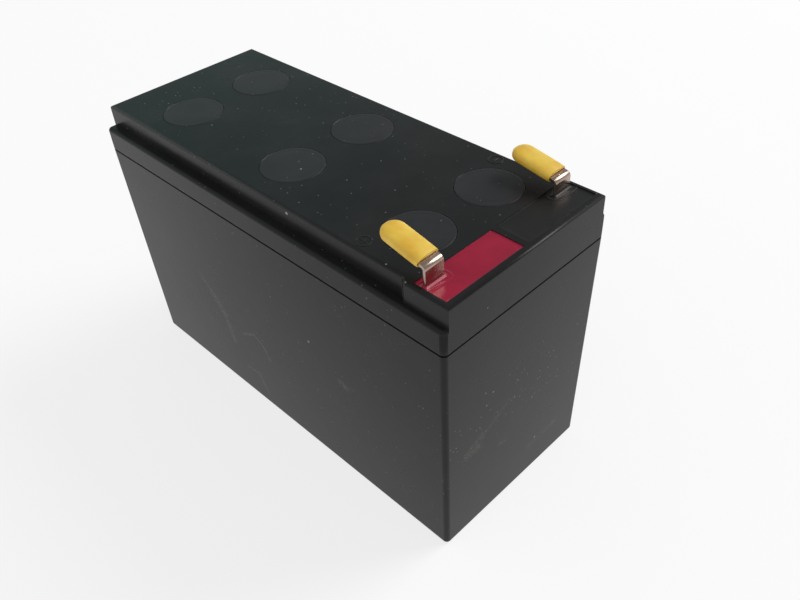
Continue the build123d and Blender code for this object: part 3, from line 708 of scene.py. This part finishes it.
def buildVentCover(name, node, shape):
    low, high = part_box(node)
    centre = Vector(((low[0] + high[0]) / 2, (low[1] + high[1]) / 2, high[2]))
    radius, top, roll = shape["radius"], shape["proud"], shape["edgeRound"]
    foot = (low[2] - high[2]) / mm
    profile = [(radius - roll, foot), (radius, foot + roll)]
    for step in range(shape["edgeSteps"] + 1):
        turn = math.pi / 2 * step / shape["edgeSteps"]
        profile.append((radius - roll + roll * math.cos(turn), top - roll + roll * math.sin(turn)))
    ring, wide, deep = shape["ringRadius"], shape["ringWide"], shape["ringDeep"]
    profile += [(ring + wide, top), (ring + wide / 2, top - deep * 0.6), (ring, top - deep),
                (ring - wide / 2, top - deep * 0.4), (ring - wide, top)]
    profile += [(ring * part, top - shape["dish"] * (1 - part)) for part in shape["dishSteps"]]
    build = bmesh.new()
    rings = []
    for out, up in profile:
        rings.append([
            build.verts.new(centre + Vector((out * math.cos(turn), out * math.sin(turn), up)) * mm)
            for turn in turnsRound(shape["segments"])])
    bridgeRings(build, rings)
    build.faces.new(rings[0])
    build.faces.new(rings[-1])
    addPiece(name, build, coverAbs, node, shape["smoothDegrees"])


for number in cells:
    buildVentCover(f"turned_cover_{number}", f"vent_cover_{number}", coverShape)
print("vent covers built")


# Terminals: the bent strip with its stamped edges broken, and a dimple on the negative tab
tabShape = {"mountFromBend": 7.0, "width": 6.35, "thickness": 0.8, "weldMm": 0.002,
            "flatDegrees": 0.5, "edgeDegrees": 40, "edgeBreak": 0.09, "smoothDegrees": 35,
            "dimpleRadius": 0.3, "dimpleDeep": 0.12, "dimpleFromBend": 0.95}


# place of a tab: its bend, the way along it, across it and out of its upper face
def tabFrame(kind):
    mount = mounts[f"{kind}_tab"]
    along = Vector(mount["axis"]).normalized()
    across = Vector((0.0, 1.0, 0.0))
    bend = Vector(mount["pos_m"]) - along * tabShape["mountFromBend"] * mm
    out = across.cross(along).normalized()
    return bend, along, across, out if out.z > 0 else -out


def buildTerminal(name, node, shape):
    build = weldedNode(node, shape["weldMm"])
    bmesh.ops.dissolve_limit(build, angle_limit=math.radians(shape["flatDegrees"]),
                             verts=build.verts, edges=build.edges)
    sharp = [edge for edge in build.edges if len(edge.link_faces) == 2
             and edge.calc_face_angle(0.0) > math.radians(shape["edgeDegrees"])]
    bmesh.ops.bevel(build, geom=sharp, offset=shape["edgeBreak"] * mm, segments=2, profile=0.5,
                    affect="EDGES", clamp_overlap=True)
    return addPiece(name, build, tinnedStrip, node, shape["smoothDegrees"])


# round dent of a gauge point, on the upper face close to the bend
def addDimple(piece, kind, shape):
    bend, along, across, out = tabFrame(kind)
    rim, deep = shape["dimpleRadius"], shape["dimpleDeep"]
    ball = (rim ** 2 + deep ** 2) / (2 * deep)
    upward = shape["thickness"] / 2 - deep + ball
    centre = bend + (along * shape["dimpleFromBend"] + out * upward) * mm
    cutter = bmesh.new()
    bmesh.ops.create_icosphere(cutter, subdivisions=4, radius=ball * mm,
                               matrix=Matrix.Translation(centre))
    cutAway(piece, cutter)
    print("dimple cut, faces", len(piece.data.polygons))


for kind in ("positive", "negative"):
    terminal = buildTerminal(f"stamped_{kind}_terminal", f"{kind}_terminal", tabShape)
    if kind == "negative":
        addDimple(terminal, kind, tabShape)
print("terminals built")


# Sleeves: flat oval dipped caps, plump at the tip, with a slot for the tab and a rolled mouth
sleeveShape = {
    "fromBend": 1.9, "length": 14.2, "halfWidth": 3.65, "halfThick": 1.7, "squareness": 2.7,
    "tipPlan": 3.6, "tipThick": 3.0, "tipPower": 0.9,
    "mouthPinch": 0.25, "pinchFade": 1.2, "pinchSide": 0.1, "lipHigh": 0.12, "lipFromMouth": 0.35,
    "wall": 0.28, "skinFromMouth": 0.02, "rings": 43, "around": 56,
    "slotHalfWidth": 3.255, "slotHalfThick": 0.48, "slotSquareness": 9.0,
    "slotStops": (10.18, 5.09, 0.15), "slotFlare": 0.12, "flareSquareness": 5.0,
    "smoothDegrees": 60,
}


def buildSleeve(name, kind, shape):
    bend, along, across, out = tabFrame(kind)
    build = bmesh.new()

    def addRing(distance, halfWidth, halfThick, squareness):
        ring = []
        for turn in turnsRound(shape["around"]):
            sideways, upward = ovalPoint(turn, halfWidth, halfThick, 2 / squareness)
            place = bend + (along * distance + across * sideways + out * upward) * mm
            ring.append(build.verts.new(place))
        return ring

    # slot from its closed end back to the mouth, then the outside from the mouth to the tip
    start, length, squareness = shape["fromBend"], shape["length"], shape["squareness"]
    slotWidth, slotThick, flare = shape["slotHalfWidth"], shape["slotHalfThick"], shape["slotFlare"]
    rings = [addRing(start + stop, slotWidth, slotThick, shape["slotSquareness"])
             for stop in shape["slotStops"]]
    rings.append(addRing(start, slotWidth + flare, slotThick + flare, shape["flareSquareness"]))
    rings.append(addRing(start, shape["halfWidth"] - shape["wall"],
                         shape["halfThick"] - shape["mouthPinch"] - shape["wall"], squareness))
    for step in range(shape["rings"]):
        # rings crowd towards the mouth and the tip
        distance = length * (1 - (1 - (step / shape["rings"]) ** 0.85) ** 1.4)
        plan = min(1.0, (length - distance) / shape["tipPlan"])
        thick = min(1.0, (length - distance) / shape["tipThick"])
        planShare = math.sqrt(max(0.0, 1 - (1 - plan) ** 2))
        thickShare = math.sqrt(max(0.0, 1 - (1 - thick) ** 2)) ** shape["tipPower"]
        pinch = shape["mouthPinch"] * math.exp(-distance / shape["pinchFade"])
        lip = shape["lipHigh"] * math.exp(-(distance / shape["lipFromMouth"] - 1) ** 2)
        rings.append(addRing(start + distance + shape["skinFromMouth"],
                             shape["halfWidth"] * planShare - shape["pinchSide"] * pinch,
                             (shape["halfThick"] - pinch + lip) * thickShare, squareness))
    bridgeRings(build, rings)
    build.faces.new(rings[0])
    tip = build.verts.new(bend + along * (start + length) * mm)
    last = rings[-1]
    for index, vert in enumerate(last):
        build.faces.new((vert, last[(index + 1) % len(last)], tip))
    addPiece(name, build, yellowVinyl, f"{kind}_sleeve", shape["smoothDegrees"])


for kind in ("positive", "negative"):
    buildSleeve(f"dipped_{kind}_sleeve", kind, sleeveShape)
print("sleeves built")


# Seals: poured epoxy that creeps up the terminal's leg and a little up the walls of the well, with
# a low ring round the leg where the second pour stopped
sealShape = {"gridMm": 0.2, "legHigh": 0.7, "legReach": 0.6,
             "ringHigh": 0.14, "ringAway": 1.75, "ringWide": 0.28,
             "wallHigh": 0.14, "wallReach": 0.45, "smoothDegrees": 40}
# the black epoxy crept less far up its leg
blackSealShape = {**sealShape, "legHigh": 0.4, "legReach": 0.5}


# height of the poured surface over its level, from the distances to the leg and the walls
def pouredRise(fromLeg, fromWall, shape):
    ring = (fromLeg - shape["ringAway"]) / shape["ringWide"]
    return (shape["legHigh"] * math.exp(-fromLeg / shape["legReach"])
            + shape["ringHigh"] * math.exp(-ring ** 2)
            + shape["wallHigh"] * math.exp(-fromWall / shape["wallReach"]))


def buildSeal(name, kind, strap, material, shape):
    low, high = (Vector(corner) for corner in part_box(f"{kind}_seal"))
    bend = tabFrame(kind)[0]
    columns = round((high.x - low.x) / (shape["gridMm"] * mm))
    rows = round((high.y - low.y) / (shape["gridMm"] * mm))
    build = bmesh.new()
    top = []
    for row in range(rows + 1):
        line = []
        for column in range(columns + 1):
            x = low.x + (high.x - low.x) * column / columns
            y = low.y + (high.y - low.y) * row / rows
            besideX = max(0.0, abs(x - bend.x) / mm - tabShape["thickness"] / 2)
            besideY = max(0.0, abs(y - bend.y) / mm - tabShape["width"] / 2)
            fromWall = min(x - low.x, high.x - x, y - low.y, high.y - y) / mm
            rise = pouredRise(math.hypot(besideX, besideY), fromWall, shape)
            line.append(build.verts.new((x, y, high.z + rise * mm)))
        top.append(line)
    for lower, upper in zip(top, top[1:]):
        for column in range(columns):
            build.faces.new((lower[column], lower[column + 1], upper[column + 1], upper[column]))
    rim = (top[0] + [line[-1] for line in top[1:]] + top[-1][-2::-1]
           + [line[0] for line in top[-2:0:-1]])
    foot = [build.verts.new((vert.co.x, vert.co.y, low.z)) for vert in rim]
    bridgeRings(build, [foot, rim])
    build.faces.new(foot)
    piece = addPiece(name, build, material, f"{kind}_seal")
    for sunk in (f"{kind}_terminal", strap):  # the terminal's foot and the strap's post
        cutAway(piece, weldedNode(sunk))
    piece.data.shade_smooth()
    piece.data.set_sharp_from_angle(angle=math.radians(shape["smoothDegrees"]))
    print(name, "faces", len(piece.data.polygons))


buildSeal("poured_red_seal", "positive", "positive_strap_1", redEpoxy, sealShape)
buildSeal("poured_black_seal", "negative", "negative_strap_6", blackEpoxy,
          blackSealShape)
print("seals poured")


# Polarity marks: raised bars with rounded tops, inside a raised ring
markShape = {"x": 42.3, "y": 25.6, "high": 0.13, "sink": 0.3, "smoothDegrees": 50,
             "arm": 1.25, "barWide": 0.42, "barSteps": 20, "barPower": 0.45,
             "barProfile": ((0.0, 0.5), (0.06, 0.88), (0.16, 1.0)),  # inset in mm, share of high
             "ringRadius": 2.1, "ringWide": 0.4, "ringSteps": 64,
             # share of half the ring's width, share of high
             "ringProfile": ((-1.0, 0.5), (-0.6, 0.9), (0.0, 1.0), (0.6, 0.9), (1.0, 0.5))}


def addBar(build, centre, turned, shape):
    halfLong, halfWide = shape["arm"], shape["barWide"] / 2
    levels = [(0.0, -shape["sink"])]
    levels += [(inset, shape["high"] * share) for inset, share in shape["barProfile"]]
    rings = []
    for inset, up in levels:
        corners = []
        for turn in turnsRound(shape["barSteps"], 0.5):
            x, y = ovalPoint(turn, halfLong - inset, halfWide - inset, shape["barPower"])
            place = Vector((y, x, up) if turned else (x, y, up))
            corners.append(build.verts.new(centre + place * mm))
        rings.append(corners)
    bridgeRings(build, rings)
    build.faces.new(rings[0])
    build.faces.new(rings[-1])


def buildMark(name, row, crossed, shape):
    centre = Vector((shape["x"] * mm, row * shape["y"] * mm, lidLevel))
    build = bmesh.new()
    wide = shape["ringWide"] / 2
    levels = [(wide * across, shape["high"] * share) for across, share in shape["ringProfile"]]
    rings = []
    for out, up in [(-wide, -shape["sink"]), *levels, (wide, -shape["sink"])]:
        ring = []
        for turn in turnsRound(shape["ringSteps"]):
            away = shape["ringRadius"] + out
            place = Vector((away * math.cos(turn), away * math.sin(turn), up))
            ring.append(build.verts.new(centre + place * mm))
        rings.append(ring)
    bridgeRings(build, rings + rings[:1])
    addBar(build, centre, True, shape)
    if crossed:
        addBar(build, centre, False, shape)
    addPiece(name, build, blackAbs, smoothDegrees=shape["smoothDegrees"])


buildMark("raised_plus_mark", -1, True, markShape)
buildMark("raised_minus_mark", 1, False, markShape)
print("polarity marks built")


# Floor: one pale sheet, far wider than any view of the battery
floorShape = {"halfWide": 6.0, "squares": 8}


def buildFloor(name, shape):
    build = bmesh.new()
    bmesh.ops.create_grid(build, x_segments=shape["squares"], y_segments=shape["squares"],
                          size=shape["halfWide"])
    mesh = bpy.data.meshes.new(name)
    build.to_mesh(mesh)
    build.free()
    mesh.materials.append(studioPaper("Paper, pale matt", paperFinish))
    floor = bpy.data.objects.new(name, mesh)
    bpy.context.scene.collection.objects.link(floor)


buildFloor("studio_floor", floorShape)


# Surround: pale at the horizon and on the positive side, dimmer above, teal beyond the far end
surround = {"horizon": "#e4e4e4", "above": "#a3a4a4", "teal": "#84b4ac", "near": "#dadada",
            "riseStart": 0.02, "riseEnd": 0.42, "tealStart": -0.5, "tealEnd": -0.85,
            "nearStart": 0.15, "nearEnd": -0.45}


def buildSurround(values):
    world = bpy.data.worlds.new("studio_surround")
    bpy.context.scene.world = world
    world.use_nodes = True
    tree = world.node_tree
    tree.nodes.clear()
    direction = addNode(tree, "ShaderNodeTexCoord").outputs["Generated"]
    axes = addNode(tree, "ShaderNodeSeparateXYZ", {"Vector": direction})
    shares = {}
    for part, axis in (("rise", "Z"), ("teal", "X"), ("near", "Y")):
        shares[part] = addNode(tree, "ShaderNodeMapRange", {
            "Value": axes.outputs[axis], "From Min": values[f"{part}Start"],
            "From Max": values[f"{part}End"]}, interpolation_type="SMOOTHSTEP")
    above = linearColour(values["above"])
    for part in ("teal", "near"):
        above = addNode(tree, "ShaderNodeMix", {
            "Factor": shares[part], "A": above, "B": linearColour(values[part])},
            data_type="RGBA")
    colour = addNode(tree, "ShaderNodeMix", {
        "Factor": shares["rise"], "A": linearColour(values["horizon"]), "B": above},
        data_type="RGBA")
    background = addNode(tree, "ShaderNodeBackground", {"Color": colour, "Strength": 1.0})
    addNode(tree, "ShaderNodeOutputWorld", {"Surface": background})


buildSurround(surround)

# Lamp: one large soft disc, from behind on the right
keyLamp = {"from": (0.9, 2.4, 2.2), "size": 2.0, "watts": 76.0}


def buildLamp(name, values):
    light = bpy.data.lights.new(name, "AREA")
    light.shape = "DISK"
    light.size = values["size"]
    light.energy = values["watts"]
    holder = bpy.data.objects.new(name, light)
    holder.location = values["from"]
    holder.rotation_mode = "QUATERNION"
    away = (cadLow + cadHigh) / 2 - Vector(values["from"])
    holder.rotation_quaternion = away.to_track_quat("-Z", "Y")
    bpy.context.scene.collection.objects.link(holder)


buildLamp("key_lamp", keyLamp)
print("floor and light set")

# Camera: a short lens held a little tilted, near the battery and above it
viewpoint = {
    "azimuth": 47.07512, "elevation": 40.36994, "roll": -3.57406,  # degrees
    "focalPixels": 813.636, "imageWidth": 800, "sensorMm": 36.0,
    "place": (0.168291, -0.131683, 0.213836), "nearest": 0.005,  # metres
}


def buildCamera(name, values):
    azimuth, elevation, roll = (math.radians(values[key])
                                for key in ("azimuth", "elevation", "roll"))
    back = Vector((math.sin(azimuth) * math.cos(elevation),
                   -math.cos(azimuth) * math.cos(elevation), math.sin(elevation)))
    level = Vector((math.cos(azimuth), math.sin(azimuth), 0.0))
    upright = back.cross(level)
    right = math.cos(roll) * level + math.sin(roll) * upright
    up = -math.sin(roll) * level + math.cos(roll) * upright
    turned = Matrix((right, up, back)).transposed().to_4x4()
    camera = bpy.data.objects.new(name, bpy.data.cameras.new(name))
    camera.data.sensor_fit = "HORIZONTAL"
    camera.data.sensor_width = values["sensorMm"]
    camera.data.lens = values["focalPixels"] * values["sensorMm"] / values["imageWidth"]
    camera.data.clip_start = values["nearest"]
    camera.matrix_world = Matrix.Translation(values["place"]) @ turned
    bpy.context.scene.collection.objects.link(camera)
    bpy.context.scene.camera = camera


buildCamera("camera", viewpoint)
bpy.context.scene.view_settings.view_transform = "Standard"
print("camera set")
